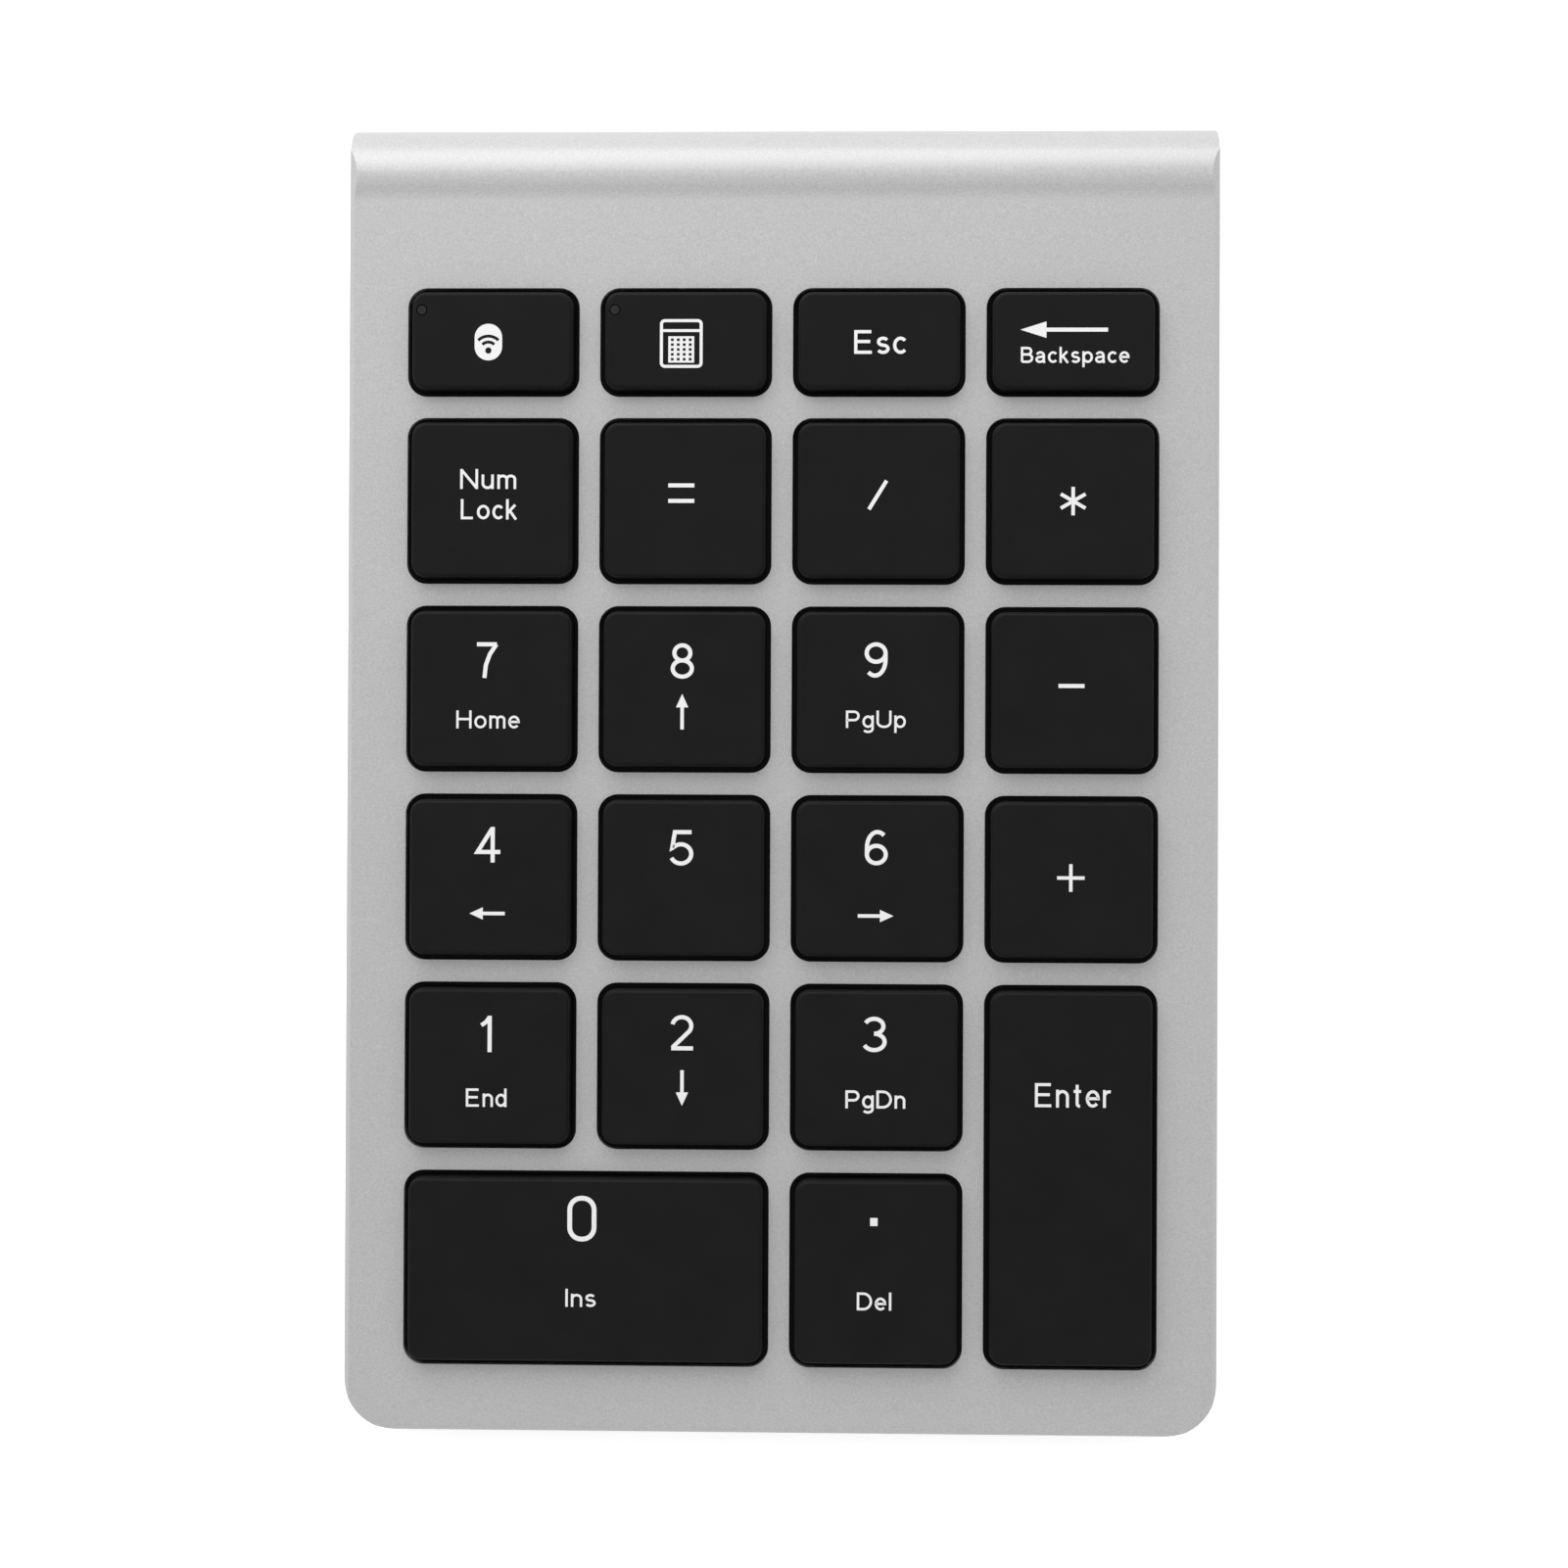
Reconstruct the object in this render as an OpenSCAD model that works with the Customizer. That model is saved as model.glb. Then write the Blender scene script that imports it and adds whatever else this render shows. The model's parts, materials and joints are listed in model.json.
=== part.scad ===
// Numeric keypad with 22 keys, a tilted deck and a battery roll along the rear edge.
// Everything is drawn in the deck frame: z = 0 is the painted deck surface, +Y runs
// up the slope to the rear, and deck() lays it down onto the desk.

/* [Body] */
// Width of the body, left to right, in mm
body_width = 88; // [80:0.5:100]
// Length of the deck along the slope, in mm
body_length = 132.4; // [128:0.1:140]
// Slope of the deck, rear edge higher, in degrees
deck_tilt = 4.3; // [2:0.1:7]
// Height of the deck above the desk at mid length, in mm
deck_height = 12.93; // [11:0.01:16]
// Thickness of the flat part of the body, in mm
slab_thickness = 7.1; // [6.8:0.1:9]
// Radius of the two front corners, in mm
front_corner = 5.3; // [2:0.1:8]
// Radius of the two rear corners, in mm
rear_corner = 0.6; // [0.3:0.1:3]
// Small bevel along the long edges of the deck, in mm
edge_bevel = 0.5; // [0.2:0.1:1]

/* [Battery roll] */
// Depth of the roll, front to rear, in mm
roll_depth = 14.6; // [14:0.1:17]
// Height of the roll from its ridge to its underside, in mm
roll_height = 16.9; // [16:0.1:19]
// How far the ridge of the roll stands above the deck, in mm
ridge_height = 0.3; // [0:0.05:1]
// Rounding of the roll along its edges, in mm
roll_round = 5.5; // [3:0.1:6]
// Hollow blend between the ridge and the deck, in mm
ridge_blend = 5; // [1:0.5:8]

/* [Walls] */
// Wall of the slab at the sides and the front, in mm
side_wall = 1.6; // [1.2:0.1:2]
// Thickness of the painted deck, in mm
deck_wall = 1.3; // [1:0.1:1.6]
// Thickness of the floor, in mm
floor_wall = 1.4; // [1:0.1:2]
// Wall of the roll, in mm
roll_wall = 1.2; // [1:0.1:1.6]

/* [Keys] */
// Key spacing across, in mm
pitch_across = 19.5; // [18:0.05:20]
// Key spacing along the slope, in mm
pitch_along = 19.01; // [18:0.01:20]
// Width of one opening in the deck, in mm
opening_width = 17.4; // [14:0.1:18]
// Length of one opening in the deck, in mm
opening_length = 16.8; // [14:0.1:18]
// Length of the short openings in the rear row, in mm
short_length = 11; // [9:0.1:14]
// Length of the openings in the front row, in mm
long_length = 19.6; // [17:0.1:21]
// Corner radius of the openings, in mm
opening_corner = 2; // [1:0.1:3]
// Gap between a key and its opening, in mm
key_gap = 0.5; // [0.2:0.05:0.6]
// Height of a key above the deck, in mm
key_rise = 1.6; // [1:0.1:2.5]
// How far a key goes down, in mm
key_travel = 1.7; // [1.5:0.1:2]
// Wall of a keycap, in mm
cap_wall = 0.9; // [0.7:0.1:1.2]
// Thickness of the top of a keycap, in mm
cap_roof = 1; // [0.8:0.1:1.2]
// Width of the rounded edge of a keycap, in mm
cap_edge = 0.35; // [0.2:0.05:0.6]
// How far the sides of a keycap lean in, in mm
cap_lean = 0.15; // [0:0.05:0.4]

/* [Key guides] */
// Outer width of the square guide stem under a key, in mm
stem_width = 5.6; // [5:0.1:6]
// Clearance between the stem and its guide tower, in mm
stem_clearance = 0.08; // [0.03:0.01:0.1]
// Outer width of a guide tower, in mm
tower_width = 7.4; // [7:0.1:8]
// Wire of the stabiliser bars, in mm
wire_thickness = 0.9; // [0.7:0.1:1.2]
// Length of the legs of the stabiliser bars, in mm
leg_length = 5; // [4:0.1:6]
// Half the length of a stabiliser bar, in mm
bar_reach = 13.5; // [12:0.5:14]

/* [Battery and switch] */
// Diameter of the battery cell, in mm
cell_diameter = 10.5; // [10:0.1:10.6]
// Length of the battery cell without its button, in mm
cell_length = 43.6; // [42:0.1:44.5]
// How far the power switch slides, in mm
switch_travel = 2.5; // [1.5:0.1:3]

/* [Hidden] */

$fn = 48;
eps = 0.01;
half_w = body_width / 2;
half_l = body_length / 2;
roll_front = half_l - roll_depth;
roll_bottom = ridge_height - roll_height;
// keeps the footprint centred on the origin once the deck is tilted
rear_reach = (half_l - roll_round) * cos(deck_tilt)
             - (roll_bottom + roll_round) * sin(deck_tilt) + roll_round;
front_reach = half_l * cos(deck_tilt) - edge_bevel * sin(deck_tilt);
slope_shift = (front_reach - rear_reach) / 2;
slab_bottom = -slab_thickness;
floor_top = slab_bottom + floor_wall;
// where the two covers meet: along the slab and along the roll
seam_slab = -4.2;
seam_roll = -8.4;
seam_groove = 0.15;

// columns and rows of openings
second_row = 27.75;
row_y = [43.8, second_row, second_row - pitch_along, second_row - 2 * pitch_along,
         second_row - 3 * pitch_along, -49.7];
row_length = [short_length, opening_length, opening_length, opening_length,
              opening_length, long_length];
function col_x(c) = (c - 1.5) * pitch_across;
wide_width = opening_width + pitch_across;
enter_top = row_y[4] + opening_length / 2;
enter_bottom = row_y[5] - long_length / 2;
enter_length = enter_top - enter_bottom;
enter_y = (enter_top + enter_bottom) / 2;
wide_x = (col_x(0) + col_x(1)) / 2;
// every opening as centre x, centre y, width, length
openings = [
    for (r = [0:4]) for (c = [0:3]) if (!(r == 4 && c == 3))
        [col_x(c), row_y[r], opening_width, row_length[r]],
    [col_x(3), enter_y, opening_width, enter_length],
    [wide_x, row_y[5], wide_width, long_length],
    [col_x(2), row_y[5], opening_width, long_length]
];

// heights of the layers under the keys
cap_bottom = -2.1;
flange_top = -1.45;
flange_reach = 0.55;
tower_top = -1.2;
stop_clearance = 0.1;
frame_top = cap_bottom - key_travel - stop_clearance;
frame_bottom = -4.5;
sheet_bottom = -4.62;
film = 0.1;
plate_thickness = 0.4;
plate_bottom = sheet_bottom - 3 * film - plate_thickness;
post_bottom = -2.6;
tube_bottom = -2.2;
dome_top = -2.65;
dome_radius = 2.7;
// the layers under the keys share one outline
stack_x = 38.3;
stack_front = -59.6;
stack_rear = 50.8;
// stabiliser bars
wire_radius = wire_thickness / 2;
bar_z = -3.15;
leg_rise = 1.8;
leg_angle = asin(leg_rise / leg_length);
wide_bar_y = -6.4;
enter_bar_x = 5.9;
clip_at = 8;
lug_at = 14.7;
lug_width = 1;
lug_bottom = -2.4;
slot_z = bar_z + leg_rise;
slot_near = leg_length * cos(leg_angle) - wire_radius - 0.15;
slot_far = leg_length + wire_radius + 0.15;
// indicator lights in the two left keys of the rear row
light_x = -7.1;
light_y = 3.05;
lens_radius = 0.45;
// screws: x, y in the deck frame
case_screw_xy = [[-38, -61.9], [38, -61.9], [-40.3, -10], [40.3, -10],
                 [-40.3, 47.5], [40.3, 47.5]];
frame_screw_xy = [[-40.3, 28.5], [40.3, 28.5], [-40.3, -28.6], [40.3, -28.6]];
boss_radius = 1.6;
screw_radius = 0.75;
head_radius = 1.6;
ear_radius = 1.8;
head_seat = -6;
foot_x = 29;
// battery tube and cap, along X
tube_y = half_l - roll_depth / 2;
tube_z = -8;
tube_outer = 5.95;
tube_inner = 5.45;
tube_left = -40.1;
cap_face = 0.75;
cap_seat_radius = 6.5;
cap_disc_radius = 6.35;
cap_neck_radius = 5.4;
cap_hole_radius = 5.5;
cap_lug_radius = 6.2;
cap_groove_radius = 6.4;
cell_left = -36.9;
contact_x = cell_left + cell_length + 0.9;
contact_sheet = 0.3;
tube_end_wall = 0.9;
tube_right = contact_x + contact_sheet + 0.1 + tube_end_wall;
// circuit board, standing behind the keys in the right half of the roll
board_left = 11;
board_right = 40.5;
board_front = tube_y + 1.5;
board_back = board_front + 1;
switch_back = board_back + 2.6;
board_top = -2.6;
board_bottom = -13.2;
board_screw_x = [13.4, 38.1];
board_screw_z = -11;
switch_z = -11;
knob_left = 23.7;
knob_width = 2;

silver = [0.78, 0.78, 0.79];
key_black = [0.12, 0.12, 0.12];
base_black = [0.16, 0.16, 0.17];
clear_film = [0.85, 0.88, 0.82];
steel = [0.7, 0.71, 0.73];
brass = [0.8, 0.68, 0.35];
board_green = [0.1, 0.4, 0.22];
rubber_grey = [0.25, 0.25, 0.26];

// ---- shared shapes -------------------------------------------------------

// places the deck frame above the desk
module deck() {
    translate([0, slope_shift, deck_height]) rotate([deck_tilt, 0, 0]) children();
}

// rounded rectangle centred on the origin
module round_rect(w, d, r) {
    square([w - 2 * r, d], center = true);
    square([w, d - 2 * r], center = true);
    for (sx = [-1, 1]) for (sy = [-1, 1])
        translate([sx * (w / 2 - r), sy * (d / 2 - r)]) circle(r);
}

// rounded rectangle between two corners
module round_box2(x0, y0, x1, y1, r) {
    translate([(x0 + x1) / 2, (y0 + y1) / 2]) round_rect(x1 - x0, y1 - y0, r);
}

// block between two corners
module block(a, b) {
    translate(a) cube(b - a);
}

// extrudes a Y-Z outline along X
module along_x(from, to) {
    translate([from, 0, 0]) rotate([90, 0, 90]) linear_extrude(to - from) children();
}

// extrudes an X-Z outline along Y
module along_y(from, to) {
    translate([0, to, 0]) rotate([90, 0, 0]) linear_extrude(to - from) children();
}

// extrudes an X-Y outline along Z
module upright(from, to) {
    translate([0, 0, from]) linear_extrude(to - from) children();
}

// round bar along X, Y or Z
module bar_x(x0, x1, r) { translate([x0, 0, 0]) rotate([0, 90, 0]) cylinder(r = r, h = x1 - x0); }
module bar_y(y0, y1, r) { translate([0, y1, 0]) rotate([90, 0, 0]) cylinder(r = r, h = y1 - y0); }
module bar_z(z0, z1, r) { translate([0, 0, z0]) cylinder(r = r, h = z1 - z0); }

// outline of the body from above, shrunk by an inset
module plan(inset = 0) {
    w = half_w - inset;
    front = -half_l + inset;
    rear = half_l - inset;
    rf = front_corner - inset;
    rr = max(rear_corner - inset, 0.1);
    translate([-w, front + rf]) square([2 * w, rear - rr - front - rf]);
    translate([-w + rf, front]) square([2 * (w - rf), 2 * rf]);
    translate([-w + rr, rear - 3]) square([2 * (w - rr), 3]);
    for (s = [-1, 1]) {
        translate([s * (w - rf), front + rf]) circle(rf);
        translate([s * (w - rr), rear - rr]) circle(rr);
    }
}

// side outline of the whole body: slab, roll, ridge blend and the blend underneath
module side_outline() {
    ridge_y = half_l - roll_round;
    blend_angle = acos(1 - ridge_height / (roll_round + ridge_blend));
    blend_y = ridge_y - (roll_round + ridge_blend) * sin(blend_angle);
    blend_steps = 6;
    under_blend = 2.5;
    difference() {
        translate([-half_l, slab_bottom]) square([roll_front + 3 + half_l, slab_thickness]);
        polygon([[-half_l - 1, 1], [-half_l - 1, -edge_bevel], [-half_l, -edge_bevel],
                 [-half_l + edge_bevel, 0], [-half_l + edge_bevel, 1]]);
        polygon([[-half_l - 1, slab_bottom - 1], [-half_l - 1, slab_bottom + 1],
                 [-half_l, slab_bottom + 1], [-half_l + 1, slab_bottom],
                 [-half_l + 1, slab_bottom - 1]]);
    }
    difference() {
        round_box2(roll_front, roll_bottom, half_l, ridge_height, roll_round);
        translate([roll_front - 1, 0]) square([ridge_y - roll_front + 1, 1]);
    }
    translate([roll_front + 1, slab_bottom]) square([4, slab_thickness]);
    translate([roll_front + 1, -3]) square([ridge_y - roll_front - 1, 3]);
    // from the deck up a hollow curve and over a round one to the ridge
    polygon([
        [ridge_y, -1], [blend_y, -1],
        for (k = [0:blend_steps]) let (a = blend_angle * k / blend_steps)
            [blend_y + ridge_blend * sin(a), ridge_blend * (1 - cos(a))],
        for (k = [blend_steps - 1:-1:0]) let (a = blend_angle * k / blend_steps)
            [ridge_y - roll_round * sin(a), ridge_height - roll_round * (1 - cos(a))]
    ]);
    difference() {
        translate([roll_front - under_blend, slab_bottom - under_blend])
            square([under_blend + 1, under_blend + 1]);
        translate([roll_front - under_blend, slab_bottom - under_blend]) circle(under_blend);
    }
}

// front outline of the body, with the bevel along the left and right edges
module front_outline() {
    top = 1;
    polygon([[-half_w, -30], [half_w, -30], [half_w, -edge_bevel],
             [half_w - edge_bevel - top, top], [-half_w + edge_bevel + top, top],
             [-half_w, -edge_bevel]]);
}

module body_solid() {
    intersection() {
        along_x(-half_w, half_w) side_outline();
        along_y(-half_l - 1, half_l + 1) front_outline();
        upright(roll_bottom - 1, 2) plan();
    }
}

// hollow inside the slab and the roll; the left end of the roll stays solid for the cap
module body_hollow() {
    upright(floor_top, -deck_wall) intersection() {
        plan(side_wall);
        translate([-half_w, -half_l]) square([body_width, roll_front + 2 + half_l]);
    }
    along_x(tube_left, half_w - side_wall)
        round_box2(roll_front + roll_wall, roll_bottom + roll_wall,
                   half_l - roll_wall, ridge_height - deck_wall, roll_round - roll_wall);
}

// side outline of everything that belongs to the top cover
module top_region() {
    along_x(-half_w - 1, half_w + 1)
        polygon([[-half_l - 9, seam_slab], [roll_front - 3, seam_slab],
                 [roll_front + 2, seam_roll], [half_l + 9, seam_roll],
                 [half_l + 9, 9], [-half_l - 9, 9]]);
}

// stepped hole in the left end of the roll for the battery cap
module cap_hole() {
    translate([0, tube_y, tube_z]) {
        bar_x(-half_w - 1, -half_w + cap_face + 0.05, cap_seat_radius);
        bar_x(-half_w, tube_left + 1, cap_hole_radius);
        bar_x(-half_w + 2, tube_left - 0.2, cap_groove_radius);
        for (s = [-1, 1]) translate([0, 0, s * 5.2])
            block([-half_w + 0.5, -1.6, -1.2], [-half_w + 2.4, 1.6, 1.2]);
    }
}

// slot for the power knob with a shallow finger recess
module switch_window() {
    block([knob_left - 0.4, half_l - 3, switch_z - 0.9],
          [knob_left + knob_width + switch_travel + 0.4, half_l + 1, switch_z + 0.9]);
    block([knob_left - 1.8, half_l - 0.5, switch_z - 1.9],
          [knob_left + knob_width + switch_travel + 1.8, half_l + 1, switch_z + 1.9]);
}

// ---- case ----------------------------------------------------------------

module top_cover() {
    color(silver) deck() difference() {
        union() {
            difference() {
                intersection() { body_solid(); top_region(); }
                body_hollow();
            }
            for (p = case_screw_xy) translate([p[0], p[1], 0])
                bar_z(seam_slab, -deck_wall + 0.2, boss_radius);
            for (p = frame_screw_xy) translate([p[0], p[1], 0])
                bar_z(frame_top, -deck_wall + 0.2, boss_radius);
        }
        for (o = openings) translate([o[0], o[1], 0])
            upright(-deck_wall - 1, 1) round_rect(o[2], o[3], opening_corner);
        for (p = case_screw_xy) translate([p[0], p[1], 0])
            bar_z(seam_slab - 1, -2, screw_radius + 0.02);
        for (p = frame_screw_xy) translate([p[0], p[1], 0])
            bar_z(frame_top - 1, -2, 0.62);
        cap_hole();
    }
}

module bottom_cover() {
    color(base_black) deck() difference() {
        union() {
            difference() {
                body_solid();
                top_region();
                body_hollow();
            }
            for (p = case_screw_xy) translate([p[0], p[1], 0])
                bar_z(floor_top - 0.2, seam_slab, boss_radius + 0.1);
            for (x = board_screw_x) translate([x, 0, board_screw_z])
                bar_y(board_back, half_l - roll_wall + 0.2, 1.7);
        }
        // fine groove that shows as the seam around the case
        upright(seam_slab - seam_groove, seam_slab + 1) difference() {
            translate([-half_w - 1, -half_l - 1]) square([body_width + 2, roll_front + half_l - 2]);
            plan(0.5);
        }
        upright(seam_roll - seam_groove, seam_roll + 1) difference() {
            translate([-half_w - 1, roll_front + 2]) square([body_width + 2, roll_depth]);
            plan(0.5);
        }
        for (p = case_screw_xy) translate([p[0], p[1], 0]) {
            bar_z(slab_bottom - 1, head_seat, head_radius + 0.15);
            bar_z(slab_bottom - 1, seam_slab + 1, screw_radius + 0.1);
        }
        for (x = board_screw_x) translate([x, 0, board_screw_z])
            bar_y(board_back - 1, board_back + 2.6, 0.67);
        cap_hole();
        switch_window();
    }
}

// rubber feet, flat on the desk and cut to the slope above them
module foot_pair(y, above, w, d) {
    color(rubber_grey) difference() {
        for (s = [-1, 1]) translate([s * foot_x, y, 0]) upright(0, 4) round_rect(w, d, d / 2 - eps);
        deck() block([-half_w, -half_l - 5, above], [half_w, half_l + 5, above + 12]);
    }
}

module front_feet() { foot_pair(-57.5, slab_bottom, 14, 5); }

module rear_feet() { foot_pair(tube_y, roll_bottom, 14, 4); }

// cross-recess screw with its head at z = 0 pointing down
module screw(head_r, head_h, shaft_r, shaft_l) {
    difference() {
        union() {
            bar_z(-head_h, 0, head_r);
            bar_z(0, shaft_l, shaft_r);
        }
        for (a = [0, 90]) rotate([0, 0, a])
            block([-head_r * 0.6, -0.16, -head_h - 1], [head_r * 0.6, 0.16, -head_h * 0.45]);
    }
}

module case_screws() {
    color(steel) deck() for (p = case_screw_xy)
        translate([p[0], p[1], head_seat]) screw(head_radius, 0.8, screw_radius, 3.8);
}

module frame_screws() {
    color(steel) deck() for (p = frame_screw_xy)
        translate([p[0], p[1], plate_bottom]) screw(1.4, 0.35, 0.6, 3);
}

// ---- keys ----------------------------------------------------------------

// side outline of a keycap, sides leaning in, with a rounded upper edge
module cap_outline(size) {
    h = size / 2 - key_gap;
    lean_at = key_rise - cap_edge;
    polygon([
        [-h, cap_bottom], [h, cap_bottom], [h, -0.4],
        for (a = [0:15:90]) [h - cap_lean - cap_edge * (1 - cos(a)),
                             lean_at + cap_edge * sin(a)],
        for (a = [90:-15:0]) [-(h - cap_lean - cap_edge * (1 - cos(a))),
                              lean_at + cap_edge * sin(a)],
        [-h, -0.4]
    ]);
}

// one keycap for an opening of the given size, centred on the opening
module keycap(w, d) {
    r = opening_corner - key_gap;
    difference() {
        union() {
            intersection() {
                upright(cap_bottom, key_rise) round_rect(w - 2 * key_gap, d - 2 * key_gap, r);
                along_y(-d, d) cap_outline(w);
                along_x(-w, w) cap_outline(d);
            }
            upright(cap_bottom, flange_top)
                round_rect(w + 2 * flange_reach, d + 2 * flange_reach, r + flange_reach);
        }
        upright(cap_bottom - 1, key_rise - cap_roof)
            round_rect(w - 2 * key_gap - 2 * cap_wall, d - 2 * key_gap - 2 * cap_wall,
                       r - cap_wall);
    }
    // square guide stem with the post that presses on the rubber dome
    difference() {
        upright(tube_bottom, key_rise - cap_roof + 0.1) round_rect(stem_width, stem_width, 0.8);
        upright(tube_bottom - 1, key_rise - cap_roof - 0.1) round_rect(4, 4, 0.4);
    }
    bar_z(post_bottom, key_rise - cap_roof + 0.1, 1);
}

// two lugs under a long keycap that hold the tips of its stabiliser bar
module stabiliser_lugs() {
    for (s = [-1, 1]) difference() {
        block([s * lug_at - lug_width / 2, slot_near - 0.6, lug_bottom],
              [s * lug_at + lug_width / 2, slot_far + 0.6, key_rise - cap_roof + 0.1]);
        block([s * lug_at - lug_width, slot_near, slot_z - wire_radius - 0.1],
              [s * lug_at + lug_width, slot_far, slot_z + wire_radius + 0.1]);
    }
}

// where the stabiliser bars sit under the two long keys
module at_wide_bar() { translate([0, wide_bar_y, 0]) children(); }
module at_enter_bar() { translate([enter_bar_x, 0, 0]) rotate([0, 0, 90]) children(); }

// stabiliser bar with its legs raised as they are when the key is up
module stabiliser_bar() {
    translate([0, 0, bar_z]) {
        bar_x(-bar_reach, bar_reach, wire_radius);
        for (s = [-1, 1]) translate([s * bar_reach, 0, 0]) {
            sphere(wire_radius);
            rotate([leg_angle, 0, 0]) {
                bar_y(0, leg_length, wire_radius);
                translate([0, leg_length, 0]) {
                    sphere(wire_radius);
                    bar_x(s > 0 ? 0 : -1.9, s > 0 ? 1.9 : 0, wire_radius);
                }
            }
        }
    }
}

// clips on the key frame that the bar turns in, and the windows the lugs dip into
module bar_clips() {
    for (s = [-1, 1]) difference() {
        block([s * clip_at - 1, -1, frame_top - 0.2], [s * clip_at + 1, 1, bar_z + 0.75]);
        translate([0, 0, bar_z]) bar_x(s * clip_at - 2, s * clip_at + 2, wire_radius + 0.05);
        block([s * clip_at - 2, -0.36, bar_z], [s * clip_at + 2, 0.36, bar_z + 2]);
    }
}

module lug_windows() {
    for (s = [-1, 1])
        block([s * lug_at - 1.1, slot_near - 1.1, frame_bottom - 1],
              [s * lug_at + 1.1, slot_far + 1.1, frame_top + 1]);
}

// an ordinary keycap in column c and row r
module plain_key(c, r) {
    color(key_black) deck() translate([col_x(c), row_y[r], 0])
        keycap(opening_width, row_length[r]);
}

// a keycap of the rear row with a hole for its indicator lens
module lit_key(c) {
    color(key_black) deck() translate([col_x(c), row_y[0], 0]) difference() {
        keycap(opening_width, row_length[0]);
        translate([light_x, light_y, 0]) bar_z(0, 3, lens_radius + 0.02);
    }
}

module lens(c) {
    color([0.5, 0.5, 0.48]) deck() translate([col_x(c) + light_x, row_y[0] + light_y, 0])
        bar_z(key_rise - cap_roof, key_rise, lens_radius);
}

module key_pair() { lit_key(0); }
module key_calculator() { lit_key(1); }
module key_escape() { plain_key(2, 0); }
module key_backspace() { plain_key(3, 0); }
module key_num_lock() { plain_key(0, 1); }
module key_equals() { plain_key(1, 1); }
module key_divide() { plain_key(2, 1); }
module key_multiply() { plain_key(3, 1); }
module key_7() { plain_key(0, 2); }
module key_8() { plain_key(1, 2); }
module key_9() { plain_key(2, 2); }
module key_minus() { plain_key(3, 2); }
module key_4() { plain_key(0, 3); }
module key_5() { plain_key(1, 3); }
module key_6() { plain_key(2, 3); }
module key_plus() { plain_key(3, 3); }
module key_1() { plain_key(0, 4); }
module key_2() { plain_key(1, 4); }
module key_3() { plain_key(2, 4); }
module key_decimal() { plain_key(2, 5); }

module key_enter() {
    color(key_black) deck() translate([col_x(3), enter_y, 0]) {
        keycap(opening_width, enter_length);
        at_enter_bar() stabiliser_lugs();
    }
}

module key_0() {
    color(key_black) deck() translate([wide_x, row_y[5], 0]) {
        keycap(wide_width, long_length);
        at_wide_bar() stabiliser_lugs();
    }
}

module lens_pair() { lens(0); }
module lens_calculator() { lens(1); }

module stabiliser_bar_enter() {
    color(steel) deck() translate([col_x(3), enter_y, 0]) at_enter_bar() stabiliser_bar();
}

module stabiliser_bar_0() {
    color(steel) deck() translate([wide_x, row_y[5], 0]) at_wide_bar() stabiliser_bar();
}

// ---- layers under the keys -----------------------------------------------

module stack_outline() {
    round_box2(-stack_x, stack_front, stack_x, stack_rear, 1);
}

module screw_ears(from, to) {
    for (p = frame_screw_xy) {
        s = sign(p[0]);
        translate([p[0], p[1], 0]) bar_z(from, to, ear_radius);
        block([min(s * (stack_x - 1), p[0]), p[1] - ear_radius, from],
              [max(s * (stack_x - 1), p[0]), p[1] + ear_radius, to]);
    }
}

module screw_ear_holes() {
    for (p = frame_screw_xy) translate([p[0], p[1], 0]) bar_z(-9, 0, 0.7);
}

module at_lights() {
    for (c = [0, 1]) translate([col_x(c) + light_x, row_y[0] + light_y, 0]) children();
}

module key_frame() {
    bore = stem_width + 2 * stem_clearance;
    color(base_black) deck() difference() {
        union() {
            upright(frame_bottom, frame_top) stack_outline();
            screw_ears(frame_bottom, frame_top);
            for (p = frame_screw_xy) translate([p[0], p[1], 0])
                bar_z(plate_bottom + plate_thickness, frame_top, ear_radius);
            for (o = openings) translate([o[0], o[1], 0])
                upright(frame_top - 0.2, tower_top) round_rect(tower_width, tower_width, 1.2);
            translate([wide_x, row_y[5], 0]) at_wide_bar() bar_clips();
            translate([col_x(3), enter_y, 0]) at_enter_bar() bar_clips();
        }
        for (o = openings) translate([o[0], o[1], 0])
            upright(frame_bottom - 1, 1) round_rect(bore, bore, 0.8 + stem_clearance);
        translate([wide_x, row_y[5], 0]) at_wide_bar() lug_windows();
        translate([col_x(3), enter_y, 0]) at_enter_bar() lug_windows();
        at_lights() upright(frame_bottom - 1, frame_top + 1) round_rect(2.2, 1.6, 0.2);
        screw_ear_holes();
    }
}

// one rubber dome, a round bell with a solid crown
module dome() {
    rotate_extrude() polygon([
        [1.9, sheet_bottom], [dome_radius, sheet_bottom], [dome_radius, -4.2],
        [1.5, -3], [1.45, dome_top], [0, dome_top], [0, -3.7], [0.5, -3.7],
        [0.55, -3.15], [1.05, -3.15], [2.1, -4.25]
    ]);
}

module dome_sheet() {
    color([0.8, 0.8, 0.78]) deck() {
        difference() {
            upright(sheet_bottom, frame_bottom) stack_outline();
            for (o = openings) translate([o[0], o[1], 0]) bar_z(-9, 0, 2.3);
            at_lights() upright(-9, 0) round_rect(2, 1.4, 0.2);
        }
        for (o = openings) translate([o[0], o[1], 0]) dome();
    }
}

module membrane_top() {
    color(clear_film) deck() upright(sheet_bottom - film, sheet_bottom) stack_outline();
}

module membrane_spacer() {
    color(clear_film) deck() difference() {
        upright(sheet_bottom - 2 * film, sheet_bottom - film) stack_outline();
        for (o = openings) translate([o[0], o[1], 0]) bar_z(-9, 0, 2.2);
    }
}

module membrane_bottom() {
    color(clear_film) deck()
        upright(sheet_bottom - 3 * film, sheet_bottom - 2 * film) stack_outline();
}

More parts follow.
